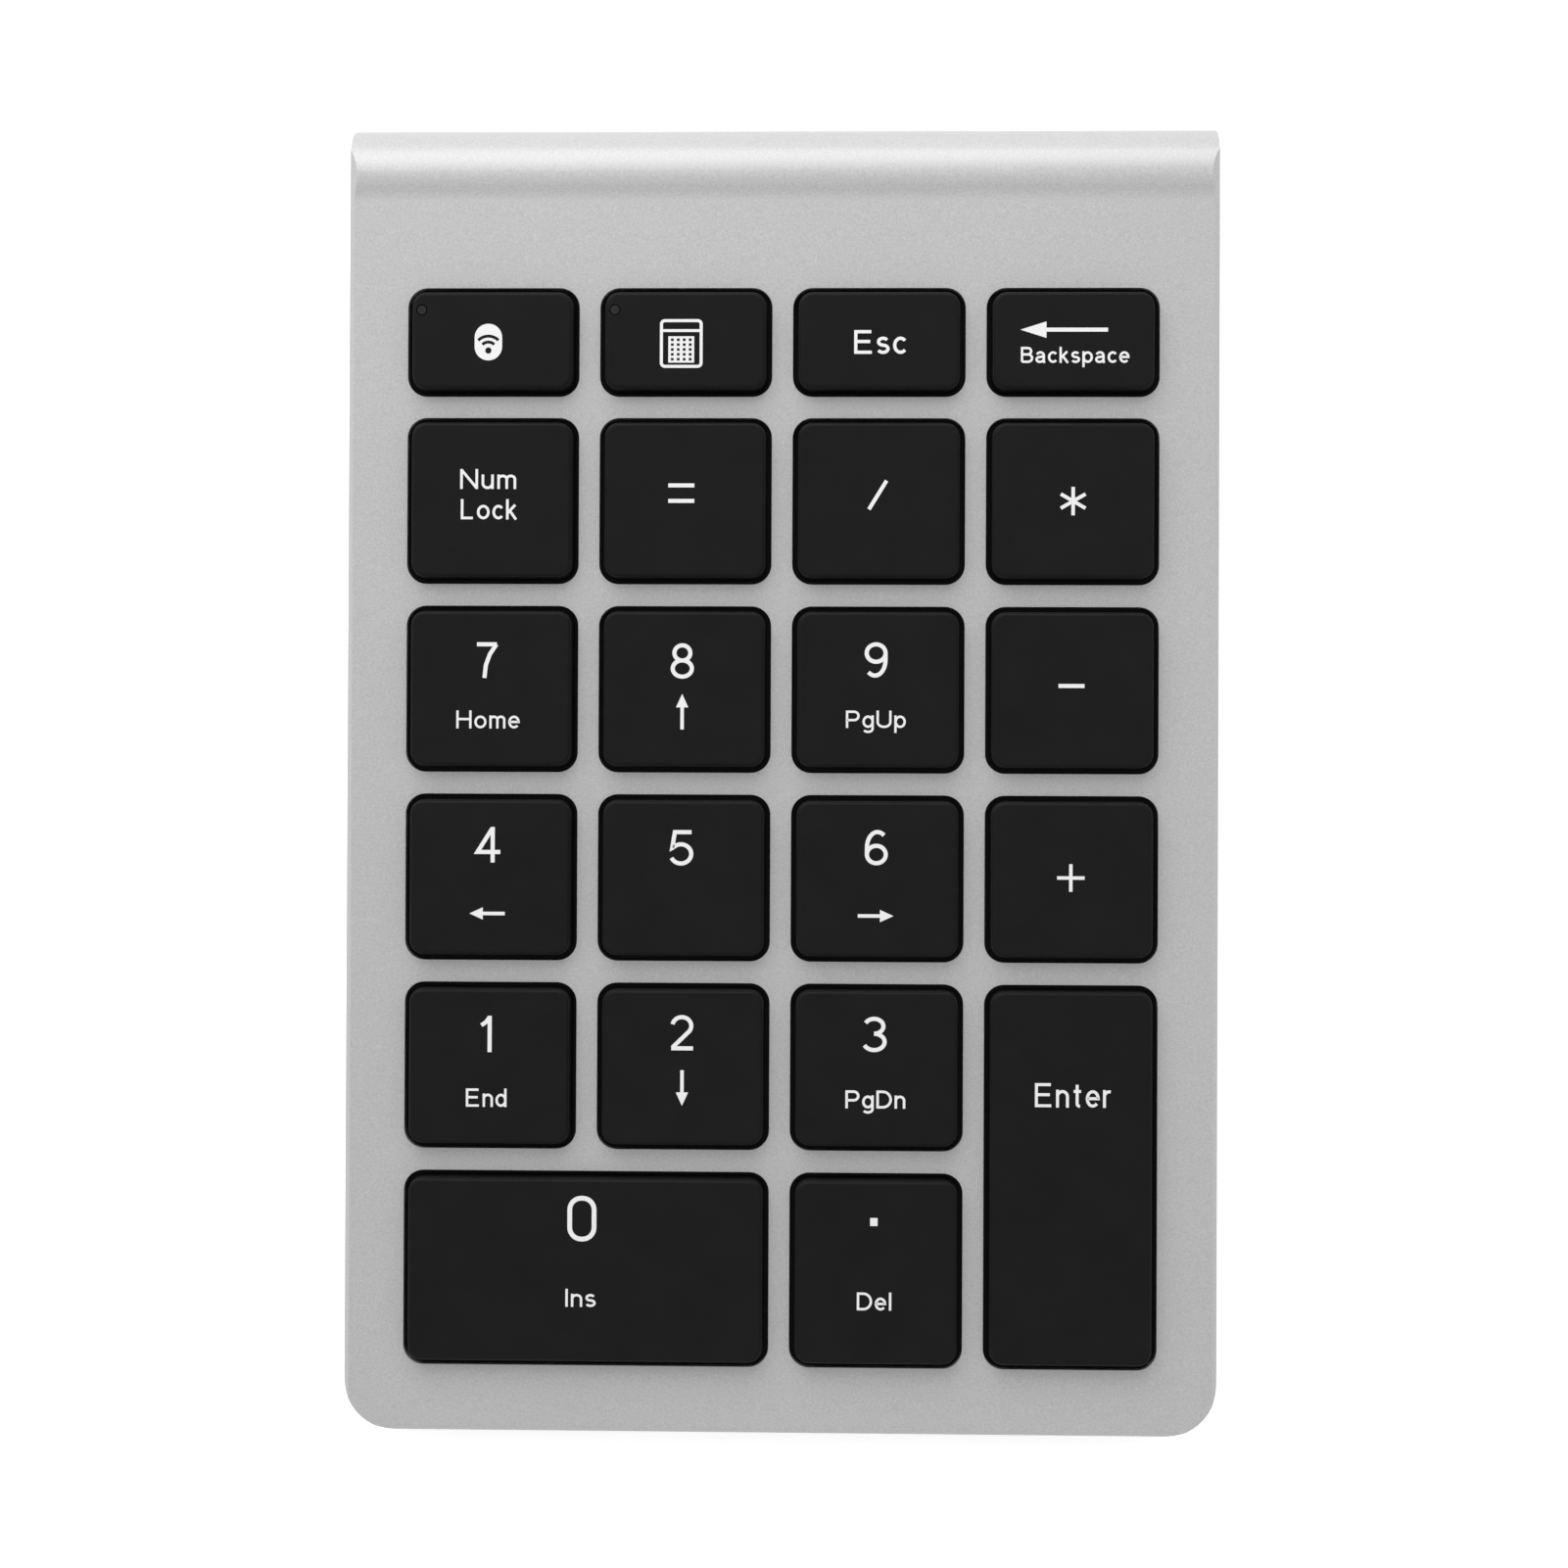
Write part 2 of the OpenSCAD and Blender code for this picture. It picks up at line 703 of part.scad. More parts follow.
module backplate() {
    color(steel) deck() difference() {
        union() {
            upright(plate_bottom, plate_bottom + plate_thickness) stack_outline();
            screw_ears(plate_bottom, plate_bottom + plate_thickness);
        }
        screw_ear_holes();
        // lightening slots between the rows
        for (r = [1:3]) translate([0, row_y[r] - pitch_along / 2, 0])
            upright(-9, 0) round_rect(60, 3, 1);
    }
}

module indicator_leds() {
    color([0.9, 0.9, 0.8]) deck() at_lights() {
        block([-0.8, -0.4, sheet_bottom], [0.8, 0.4, sheet_bottom + 0.3]);
        block([-0.5, -0.4, sheet_bottom + 0.3], [0.5, 0.4, sheet_bottom + 0.65]);
    }
}

// ---- battery -------------------------------------------------------------

module at_tube() { deck() translate([0, tube_y, tube_z]) children(); }

module battery_tube() {
    color(base_black) at_tube() difference() {
        bar_x(tube_left, tube_right, tube_outer);
        bar_x(tube_left - 1, tube_right - tube_end_wall, tube_inner);
        // slot for the contact tab
        block([tube_right - 2, 1.1, -1.1], [tube_right + 1, 1.6, 1.1]);
    }
}

module battery_cell() {
    color([0.25, 0.27, 0.3]) at_tube() {
        bar_x(cell_left, cell_left + cell_length, cell_diameter / 2);
        bar_x(cell_left + cell_length - 0.1, contact_x, 1.9);
    }
}

module battery_contact() {
    color(brass) at_tube() {
        bar_x(contact_x, contact_x + contact_sheet, 4.5);
        block([contact_x + 0.1, 1.2, -1], [13.6, 1.5, 1]);
    }
}

module ground_strip() {
    color(brass) at_tube() {
        block([-39.5, -1, -6.25], [13.5, 1.5, -6]);
        block([11.5, 1.25, -6.25], [13.5, 1.5, -4.9]);
    }
}

module battery_cap() {
    color(silver) at_tube() difference() {
        union() {
            bar_x(-half_w, -half_w + cap_face, cap_disc_radius);
            bar_x(-half_w + 0.1, tube_left - 0.6, cap_neck_radius);
            intersection() {
                bar_x(-half_w + 2.2, tube_left - 0.6, cap_lug_radius);
                block([-half_w, -9, -1.4], [0, 9, 1.4]);
            }
        }
        bar_x(-half_w + 2.4, 0, 4.4);
        // coin slot
        block([-half_w - 1, -4.6, -0.7], [-half_w + 1.1, 4.6, 0.7]);
    }
}

// coil spring of the cap, wider at the cap and narrower at the cell
spring_turns = 4;
spring_steps = 28;
spring_sides = 8;
spring_wire = 0.3;
spring_from = -half_w + 2.4 + spring_wire;
spring_to = cell_left - spring_wire;
function spring_at(i) = let (u = i / (spring_turns * spring_steps), a = 360 * spring_turns * u,
                             r = 3.7 - 1.5 * u)
    [spring_from + (spring_to - spring_from) * u, r * cos(a), r * sin(a)];
function spring_ring(i) = let (p = spring_at(i), a = 360 * i / spring_steps)
    [for (k = [0:spring_sides - 1]) let (b = 360 * k / spring_sides)
        p + spring_wire * [sin(b), cos(b) * cos(a), cos(b) * sin(a)]];

module battery_spring() {
    n = spring_turns * spring_steps;
    m = spring_sides;
    color(steel) at_tube() polyhedron(
        points = [for (i = [0:n]) each spring_ring(i)],
        faces = concat(
            [[for (k = [m - 1:-1:0]) k]],
            [for (i = [0:n - 1]) for (k = [0:m - 1]) let (a = i * m + k, b = i * m + (k + 1) % m)
                each [[a, b, b + m], [a, b + m, a + m]]],
            [[for (k = [0:m - 1]) n * m + k]]
        ));
}

// ---- electronics ---------------------------------------------------------

module circuit_board() {
    color(board_green) deck() difference() {
        block([board_left, board_front, board_bottom], [board_right, board_back, board_top]);
        for (x = board_screw_x) translate([x, 0, board_screw_z]) bar_y(50, 70, 0.8);
    }
}

module board_screws() {
    color(steel) deck() for (x = board_screw_x)
        translate([x, board_front, board_screw_z]) rotate([-90, 0, 0]) screw(1.4, 0.7, 0.65, 3.3);
}

module radio_module() {
    color([0.72, 0.73, 0.74]) deck() {
        block([22, board_front - 0.8, -12.8], [35, board_front, -6.2]);
        block([22.6, board_front - 2.2, -12.3], [31.5, board_front - 0.8, -6.7]);
    }
}

module controller_chip() {
    color(key_black) deck() block([15.5, board_front - 1, -11.6], [20.5, board_front, -6.8]);
}

module clock_crystal() {
    color(steel) deck() along_y(board_front - 0.9, board_front)
        round_box2(36, -8.5, 39, -6.6, 0.5);
}

module power_inductor() {
    color(rubber_grey) deck() block([35, board_front - 2, -6], [39, board_front, -3]);
}

module tail_clamp() {
    color([0.9, 0.88, 0.8]) deck() difference() {
        block([15, 57.6, -5.9], [33, board_front, -3.7]);
        block([16.3, 57, sheet_bottom - 3 * film - 0.05],
              [31.7, 59, sheet_bottom - 2 * film + 0.05]);
    }
}

module flex_tail() {
    color(clear_film) deck()
        block([16.5, stack_rear, sheet_bottom - 3 * film], [31.5, 58.8, sheet_bottom - 2 * film]);
}

module power_switch_body() {
    color(steel) deck() difference() {
        block([22.3, board_back, switch_z - 1.7], [30, switch_back, switch_z + 1.7]);
        block([23.2, board_back + 1.2, switch_z - 1], [29.2, switch_back + 1, switch_z + 1]);
    }
}

module power_switch_slider() {
    color(key_black) deck() {
        block([knob_left - 0.3, board_back + 1.3, switch_z - 0.9],
              [knob_left + knob_width + 0.8, switch_back - 0.1, switch_z + 0.9]);
        block([knob_left, switch_back - 0.2, switch_z - 0.65],
              [knob_left + knob_width, half_l, switch_z + 0.65]);
    }
}

// ---- parts list ----------------------------------------------------------

top_cover();
bottom_cover();
front_feet();
rear_feet();
case_screws();
frame_screws();
key_pair();
key_calculator();
key_escape();
key_backspace();
key_num_lock();
key_equals();
key_divide();
key_multiply();
key_7();
key_8();
key_9();
key_minus();
key_4();
key_5();
key_6();
key_plus();
key_1();
key_2();
key_3();
key_enter();
key_0();
key_decimal();
lens_pair();
lens_calculator();
stabiliser_bar_0();
stabiliser_bar_enter();
key_frame();
dome_sheet();
membrane_top();
membrane_spacer();
membrane_bottom();
backplate();
indicator_leds();
battery_tube();
battery_cell();
battery_contact();
ground_strip();
battery_cap();
battery_spring();
circuit_board();
board_screws();
radio_module();
controller_chip();
clock_crystal();
power_inductor();
tail_clamp();
flex_tail();
power_switch_body();
power_switch_slider();
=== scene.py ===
"""Numeric keypad: looks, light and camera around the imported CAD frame.

Lengths in this script are millimetres in the deck frame, where z = 0 is the painted deck
and +y runs up the slope to the rear. deck_point() turns them into metres in the row frame.
"""

import json
import math

import bmesh
import bpy
import numpy as np
from mathutils import Matrix, Vector


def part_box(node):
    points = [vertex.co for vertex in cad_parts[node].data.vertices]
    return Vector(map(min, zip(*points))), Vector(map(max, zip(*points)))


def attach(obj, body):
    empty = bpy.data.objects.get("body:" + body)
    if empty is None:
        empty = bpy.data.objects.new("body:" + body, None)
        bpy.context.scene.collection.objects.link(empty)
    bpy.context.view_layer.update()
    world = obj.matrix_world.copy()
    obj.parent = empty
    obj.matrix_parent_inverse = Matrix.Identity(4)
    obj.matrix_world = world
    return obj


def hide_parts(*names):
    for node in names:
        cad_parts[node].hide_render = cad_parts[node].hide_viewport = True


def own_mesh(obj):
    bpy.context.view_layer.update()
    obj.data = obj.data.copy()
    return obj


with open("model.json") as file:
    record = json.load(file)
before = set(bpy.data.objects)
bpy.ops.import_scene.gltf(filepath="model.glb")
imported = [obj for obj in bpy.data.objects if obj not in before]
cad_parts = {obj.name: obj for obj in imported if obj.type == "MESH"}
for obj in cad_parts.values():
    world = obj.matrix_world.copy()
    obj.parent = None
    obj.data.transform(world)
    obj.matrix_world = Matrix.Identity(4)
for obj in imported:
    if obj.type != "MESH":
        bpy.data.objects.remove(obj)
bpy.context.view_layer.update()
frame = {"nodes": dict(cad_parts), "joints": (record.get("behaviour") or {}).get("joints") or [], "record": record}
record = frame["record"]

# measures that the CAD source gives to every key
KEY_GAP = 0.5
FLANGE_REACH = 0.55
OPENING_CORNER = 2.0
CAP_BOTTOM, FLANGE_TOP = -2.1, -1.45
STEM_BOTTOM, POST_BOTTOM = -2.2, -2.6
STEM_WIDTH, STEM_BORE, POST_RADIUS = 5.6, 4.0, 1.0
KEY_TOP = 1.6
CAP_WALL, CAP_ROOF = 0.9, 1.0
CAP_EDGE, CAP_LEAN = 0.35, 0.15
LEAN_FROM = -0.4  # height where the sides of a cap start to lean in
LEAST_CORNER = 0.4
DOME_SHEET_TOP, DOME_SHEET_BOTTOM = -4.5, -4.62

# hooks under the two long keys, measured from the stabiliser bar that they hold
LUG_AT, LUG_HALF_WIDTH = 14.7, 0.5
LUG_BOTTOM, LUG_BRIDGE, LUG_TOP = -2.4, -0.8, 0.7
LUG_NEAR, LUG_FAR, LUG_WALL = 3.46, 6.2, 0.6
BAR_OF_0, BAR_OF_ENTER = -6.4, 5.9

# measures of the printed legends and the lens holes
INK = 0.015
INK_SUNK = 0.02  # how far the ink reaches into the cap
LAYER_STEP = 0.0006
DARK_LAYER = 0.01
LENS_GAP = 0.1

# edges of the carried-over CAD nodes, in metres and degrees
WELD_DISTANCE = 1e-6
SOFT_EDGE = 0.0001
FLAT_ANGLE, SHARP_ANGLE = 0.2, 35


# ---- the deck frame --------------------------------------------------------

KEYS = [n for n in frame["nodes"] if n.startswith("key_") and n != "key_frame"]


def deck_tilt():
    """Slope of the deck, read from the direction that the keys travel in."""
    down = next(j for j in frame["joints"] if j["name"] == "key_5_press")["axis"]
    return math.atan2(down[1], -down[2])


TILT = Matrix.Rotation(deck_tilt(), 4, "X")


def turned_box(node):
    """(low, high) corner of a CAD node in mm, turned back so that the deck is level."""
    back = np.array(TILT.inverted())[:3, :3]
    co = np.array([v.co for v in frame["nodes"][node].data.vertices], float) @ back.T * 1000
    return co.min(0), co.max(0)


def deck_origin():
    """Middle of the cover in x and y, at the height of the painted deck."""
    low, high = turned_box("top_cover")
    return np.array([(low[0] + high[0]) / 2, (low[1] + high[1]) / 2,
                     turned_box("key_5")[1][2] - KEY_TOP])


ORIGIN = deck_origin()
TO_WORLD = Matrix.Scale(0.001, 4) @ TILT @ Matrix.Translation(Vector(ORIGIN))


def deck_point(x, y, z=0.0):
    return TO_WORLD @ Vector((x, y, z))


def deck_box(node):
    low, high = turned_box(node)
    return low - ORIGIN, high - ORIGIN


def opening_of(key):
    """(centre x, centre y, width, length) of the opening a key stands in."""
    low, high = deck_box(key)
    centre, size = (low + high) / 2, high - low - 2 * FLANGE_REACH
    return centre[0], centre[1], size[0], size[1]


# ---- mesh building ---------------------------------------------------------

class Solid:
    """Vertices and faces in the deck frame that become one piece."""

    def __init__(self):
        self.points, self.faces = [], []

    def add(self, points, faces):
        start = len(self.points)
        self.points += [tuple(p) for p in points]
        self.faces += [[start + i for i in f] for f in faces]

    def loft(self, rings):
        """Closed skin over rings with equal numbers of points, capped at both ends."""
        n = len(rings[0])
        faces = [list(range(n - 1, -1, -1))]
        for k in range(len(rings) - 1):
            for i in range(n):
                j = (i + 1) % n
                faces.append([k * n + i, k * n + j, (k + 1) * n + j, (k + 1) * n + i])
        faces.append([(len(rings) - 1) * n + i for i in range(n)])
        self.add([p for ring in rings for p in ring], faces)

    def torus(self, rings):
        """Closed skin over rings where the last one joins the first."""
        n, m = len(rings[0]), len(rings)
        faces = [[k * n + i, k * n + (i + 1) % n, (k + 1) % m * n + (i + 1) % n, (k + 1) % m * n + i]
                 for k in range(m) for i in range(n)]
        self.add([p for ring in rings for p in ring], faces)

    def prism(self, outline, low, high):
        self.loft([[(x, y, z) for x, y in outline] for z in (low, high)])

    def box(self, a, b):
        self.prism([(a[0], a[1]), (b[0], a[1]), (b[0], b[1]), (a[0], b[1])], a[2], b[2])

    def piece(self, name, material, body, slot=None, smooth=30, replaces=()):
        mesh = bpy.data.meshes.new(name)
        mesh.from_pydata([TO_WORLD @ Vector(p) for p in self.points], [], self.faces)
        bm = bmesh.new()
        bm.from_mesh(mesh)
        bmesh.ops.recalc_face_normals(bm, faces=bm.faces)
        bm.to_mesh(mesh)
        bm.free()
        mesh.shade_smooth()
        mesh.set_sharp_from_angle(angle=math.radians(smooth))
        mesh.materials.append(material)
        obj = bpy.data.objects.new(name, mesh)
        bpy.context.scene.collection.objects.link(obj)
        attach(obj, body)
        if replaces:
            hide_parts(*replaces)
        return obj


def rounded_rect(w, d, r, x=0.0, y=0.0, steps=7):
    """Outline of a rectangle with rounded corners, counter-clockwise."""
    points = []
    for sx, sy, start in ((1, 1, 0), (-1, 1, 90), (-1, -1, 180), (1, -1, 270)):
        for k in range(steps + 1):
            a = math.radians(start + 90 * k / steps)
            points.append((x + sx * (w / 2 - r) + r * math.cos(a),
                           y + sy * (d / 2 - r) + r * math.sin(a)))
    return points


def at_height(outline, z):
    return [(x, y, z) for x, y in outline]


def circle(x, y, r, steps=24):
    return [(x + r * math.cos(2 * math.pi * k / steps), y + r * math.sin(2 * math.pi * k / steps))
            for k in range(steps)]


# ---- materials -------------------------------------------------------------

class Finish:
    """A Principled material with helpers for procedural patterns in object space."""

    def __init__(self, name):
        self.material = bpy.data.materials.new(name)
        self.material.use_nodes = True
        self.tree = self.material.node_tree
        self.bsdf = self.tree.nodes["Principled BSDF"]
        self.place = self.node("ShaderNodeTexCoord").outputs["Object"]

    def node(self, kind, **values):
        made = self.tree.nodes.new(kind)
        for key, value in values.items():
            setattr(made, key, value)
        return made

    def link(self, output, target):
        self.tree.links.new(output, target)

    def stretched(self, x, y, z):
        mapping = self.node("ShaderNodeMapping")
        mapping.inputs["Scale"].default_value = (x, y, z)
        self.link(self.place, mapping.inputs["Vector"])
        return mapping.outputs["Vector"]

    def noise(self, scale, detail=2.0, along=None):
        made = self.node("ShaderNodeTexNoise")
        made.inputs["Scale"].default_value = scale
        made.inputs["Detail"].default_value = detail
        self.link(along or self.place, made.inputs["Vector"])
        return made.outputs["Fac"]

    def axis(self, name):
        made = self.node("ShaderNodeSeparateXYZ")
        self.link(self.place, made.inputs[0])
        return made.outputs[name]

    def span(self, value, low, high, start=0.25, end=0.75):
        """Maps start..end of a pattern onto low..high."""
        made = self.node("ShaderNodeMapRange")
        for name, number in (("From Min", start), ("From Max", end),
                             ("To Min", low), ("To Max", high)):
            made.inputs[name].default_value = number
        self.link(value, made.inputs["Value"])
        return made.outputs["Result"]

    def mix(self, share, a, b):
        """Colour between a and b; either may be a colour or the output of another node."""
        made = self.node("ShaderNodeMix", data_type="RGBA")
        self.link(share, made.inputs["Factor"])
        for socket, value in ((made.inputs[6], a), (made.inputs[7], b)):
            if isinstance(value, tuple):
                socket.default_value = (*value, 1)
            else:
                self.link(value, socket)
        return made.outputs[2]

    def colour(self, output):
        self.link(output, self.bsdf.inputs["Base Color"])

    def roughness(self, output):
        self.link(output, self.bsdf.inputs["Roughness"])

    def bump(self, height, strength, distance):
        made = self.node("ShaderNodeBump")
        made.inputs["Strength"].default_value = strength
        made.inputs["Distance"].default_value = distance
        self.link(height, made.inputs["Height"])
        self.link(made.outputs["Normal"], self.bsdf.inputs["Normal"])

    def set(self, **values):
        for name, value in values.items():
            self.bsdf.inputs[name.replace("_", " ")].default_value = value


def grey(v, warm=0.0):
    return (v * (1 + warm), v, v * (1 - warm))


def silver_paint():
    f = Finish("silver_paint")
    flakes = f.span(f.noise(5200, 1), 0, 1)
    cloud = f.span(f.noise(35, 2), 0, 1)
    dark, bright = (f.mix(cloud, grey(v), grey(v + 0.01)) for v in (0.39, 0.475))
    f.colour(f.mix(flakes, dark, bright))
    f.set(Metallic=0.35, Specular_IOR_Level=0.15, Specular_Tint=(0.5, 0.5, 0.5, 1))
    f.roughness(f.span(flakes, 0.42, 0.5, 0, 1))
    f.bump(f.noise(6000, 2), 0.05, 0.00004)
    return f.material


def black_key():
    f = Finish("black_key")
    grain = f.noise(5200, 2)
    f.colour(f.mix(f.span(f.noise(240, 3), 0, 1), grey(0.0056), grey(0.0072)))
    f.roughness(f.span(grain, 0.38, 0.5))
    f.set(Specular_IOR_Level=0.09)
    f.bump(grain, 0.12, 0.00003)
    return f.material


def legend_ink():
    f = Finish("legend_ink")
    f.colour(f.mix(f.span(f.noise(4200, 2), 0, 1), grey(0.68), grey(0.74)))
    f.set(Metallic=0.1, Roughness=0.5)
    return f.material


def dark_base():
    f = Finish("dark_base")
    grain = f.noise(2600, 3)
    f.colour(f.mix(f.span(grain, 0, 1), grey(0.018), grey(0.026)))
    f.roughness(f.span(grain, 0.5, 0.68))
    f.set(Specular_IOR_Level=0.3)
    f.bump(grain, 0.35, 0.00006)
    return f.material


def dark_rubber():
    f = Finish("dark_rubber")
    grain = f.noise(1800, 4)
    f.colour(f.mix(f.span(grain, 0, 1), grey(0.028), grey(0.04)))
    f.roughness(f.span(grain, 0.75, 0.9))
    f.set(Specular_IOR_Level=0.25)
    f.bump(grain, 0.3, 0.00005)
    return f.material


def bright_steel():
    f = Finish("bright_steel")
    drawn = f.noise(900, 3, f.stretched(0.15, 1, 1))
    f.colour(f.mix(f.span(drawn, 0, 1), grey(0.55), grey(0.68)))
    f.roughness(f.span(drawn, 0.22, 0.38))
    f.set(Metallic=1.0)
    return f.material


def smoke_lens():
    f = Finish("smoke_lens")
    f.colour(f.mix(f.span(f.noise(2500, 2), 0, 1), grey(0.012), grey(0.017)))
    f.set(Roughness=0.2, Specular_IOR_Level=0.2)
    return f.material


def frame_plastic():
    f = Finish("frame_plastic")
    grain = f.noise(1500, 3)
    f.colour(f.mix(f.span(grain, 0, 1), grey(0.012), grey(0.018)))
    f.roughness(f.span(grain, 0.45, 0.6))
    f.set(Specular_IOR_Level=0.3)
    return f.material


def pale_rubber():
    f = Finish("pale_rubber")
    f.colour(f.mix(f.span(f.noise(700, 3), 0, 1), grey(0.55, 0.02), grey(0.66, 0.02)))
    f.set(Roughness=0.55, Subsurface_Weight=0.15)
    return f.material


def film():
    """Clear film with fine printed silver tracks."""
    f = Finish("film")
    waves = f.node("ShaderNodeTexWave", bands_direction="X")
    waves.inputs["Scale"].default_value = 160
    waves.inputs["Distortion"].default_value = 0.4
    f.link(f.place, waves.inputs["Vector"])
    tracks = f.span(waves.outputs["Fac"], 0, 1, 0.72, 0.8)
    f.colour(f.mix(tracks, (0.62, 0.68, 0.60), grey(0.45)))
    f.set(Roughness=0.25)
    return f.material


def led_white():
    f = Finish("led_white")
    f.colour(f.mix(f.span(f.noise(3000, 2), 0, 1), grey(0.66, 0.04), grey(0.75, 0.04)))
    f.set(Roughness=0.3)
    return f.material


def cell_jacket():
    """Dark printed jacket with a copper band at the button end and bare metal beyond it."""
    f = Finish("cell_jacket")
    low, high = (v.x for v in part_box("battery_cell"))
    along = f.span(f.axis("X"), 0, 1, low, high)
    band = f.span(along, 0, 1, 0.72, 0.725)
    metal = f.span(along, 0, 1, 0.965, 0.968)
    jacket = f.mix(band, (0.02, 0.025, 0.035), (0.45, 0.2, 0.08))
    worn = f.mix(f.span(f.noise(500, 4), 0, 0.12), jacket, grey(0.2))
    f.colour(f.mix(metal, worn, grey(0.6)))
    f.link(metal, f.bsdf.inputs["Metallic"])
    f.set(Roughness=0.25)
    return f.material


def contact_brass():
    f = Finish("contact_brass")
    drawn = f.noise(700, 3, f.stretched(0.2, 1, 1))
    f.colour(f.mix(f.span(drawn, 0, 1), (0.62, 0.47, 0.2), (0.72, 0.57, 0.28)))
    f.roughness(f.span(drawn, 0.2, 0.35))
    f.set(Metallic=1.0)
    return f.material


def board():
    """Green solder mask with raised tracks showing through it."""
    f = Finish("board")
    waves = f.node("ShaderNodeTexWave", bands_direction="Z")
    waves.inputs["Scale"].default_value = 260
    waves.inputs["Distortion"].default_value = 6
    waves.inputs["Detail"].default_value = 0
    f.link(f.place, waves.inputs["Vector"])
    tracks = f.span(waves.outputs["Fac"], 0, 1, 0.7, 0.78)
    mask = f.mix(f.span(f.noise(900, 3), 0, 1), (0.008, 0.07, 0.03), (0.012, 0.09, 0.04))
    f.colour(f.mix(tracks, mask, (0.03, 0.17, 0.07)))
    f.bump(tracks, 0.4, 0.00003)
    f.set(Roughness=0.3)
    return f.material


def can():
    f = Finish("can")
    drawn = f.noise(1200, 3, f.stretched(1, 1, 0.2))
    f.colour(f.mix(f.span(drawn, 0, 1), grey(0.55), grey(0.66)))
    f.roughness(f.span(drawn, 0.25, 0.42))
    f.set(Metallic=0.9)
    return f.material


def chip():
    f = Finish("chip")
    grain = f.noise(4000, 2)
    f.colour(f.mix(f.span(grain, 0, 1), grey(0.012), grey(0.02)))
    f.roughness(f.span(grain, 0.45, 0.6))
    f.set(Specular_IOR_Level=0.3)
    return f.material


def ferrite():
    f = Finish("ferrite")
    grain = f.noise(3000, 4)
    f.colour(f.mix(f.span(grain, 0, 1), grey(0.05), grey(0.085)))
    f.roughness(f.span(grain, 0.7, 0.85))
    return f.material


def connector():
    f = Finish("connector")
    f.colour(f.mix(f.span(f.noise(900, 3), 0, 1), (0.68, 0.63, 0.5), (0.74, 0.69, 0.56)))
    f.set(Roughness=0.5)
    return f.material


def floor_white():
    f = Finish("floor_white")
    f.colour(f.mix(f.span(f.noise(3, 2), 0, 1), grey(0.90), grey(0.92)))
    f.set(Roughness=0.9, Specular_IOR_Level=0.1, Emission_Color=(1, 1, 1, 1), Emission_Strength=0.45)
    return f.material


FINISHES = {make.__name__: make() for make in (
    silver_paint, black_key, dark_base, dark_rubber, bright_steel, smoke_lens, frame_plastic,
    pale_rubber, film, led_white, cell_jacket, contact_brass, board, can, chip, ferrite, connector)}
INK_FINISH = legend_ink()
SHELLS = ("top_cover", "bottom_cover", "battery_cap")


def dress_cad_nodes():
    """Materials by the record's slots, and softened edges on everything carried over."""
    for part in record["subparts"]:
        obj = frame["nodes"][part["node"]]
        obj.data.materials.clear()
        obj.data.materials.append(FINISHES[part["material_slot"]])
        obj.data.shade_smooth()
        with bpy.context.temp_override(object=obj, active_object=obj):
            bpy.ops.mesh.customdata_custom_splitnormals_clear()
        obj.modifiers.new("weld", "WELD").merge_threshold = WELD_DISTANCE
        if part["node"] in SHELLS:
            flat = obj.modifiers.new("flat_faces", "DECIMATE")
            flat.decimate_type, flat.angle_limit = "DISSOLVE", math.radians(FLAT_ANGLE)
            bevel = obj.modifiers.new("soft_edges", "BEVEL")
            bevel.width, bevel.segments = SOFT_EDGE, 2
            bevel.limit_method, bevel.angle_limit = "ANGLE", math.radians(SHARP_ANGLE)
            obj.modifiers.new("flat_shading", "WEIGHTED_NORMAL").weight = 100
        else:
            split = obj.modifiers.new("sharp_edges", "EDGE_SPLIT")
            split.split_angle = math.radians(SHARP_ANGLE)


# ---- keycaps ---------------------------------------------------------------

def add_stem(solid, x, y):
    """Square guide stem and the post that presses on the dome."""
    into_roof = 0.1
    top = KEY_TOP - CAP_ROOF + into_roof
    outer = rounded_rect(STEM_WIDTH, STEM_WIDTH, 0.8, x, y, 4)
    inner = rounded_rect(STEM_BORE, STEM_BORE, LEAST_CORNER, x, y, 4)
    solid.torus([at_height(inner, top), at_height(inner, STEM_BOTTOM),
                 at_height(outer, STEM_BOTTOM), at_height(outer, top)])
    solid.prism(circle(x, y, POST_RADIUS), POST_BOTTOM, top)


def add_stabiliser_lugs(solid, key, x, y):
    """Two hooks under a long key that hold the tips of its stabiliser bar.

    Each hook is a near wall, a far wall and the bridge over both.
    """
    bar_y, bar_x = y + BAR_OF_0, x + BAR_OF_ENTER
    for side in (-1, 1):
        for near, far, low in ((LUG_NEAR, LUG_NEAR + LUG_WALL, LUG_BOTTOM),
                               (LUG_FAR - LUG_WALL, LUG_FAR, LUG_BOTTOM),
                               (LUG_NEAR, LUG_FAR, LUG_BRIDGE)):
            a, b = side * LUG_AT - LUG_HALF_WIDTH, side * LUG_AT + LUG_HALF_WIDTH
            if key == "key_0":
                solid.box((x + a, bar_y + near, low), (x + b, bar_y + far, LUG_TOP))
            else:
                solid.box((bar_x - far, y + a, low), (bar_x - near, y + b, LUG_TOP))


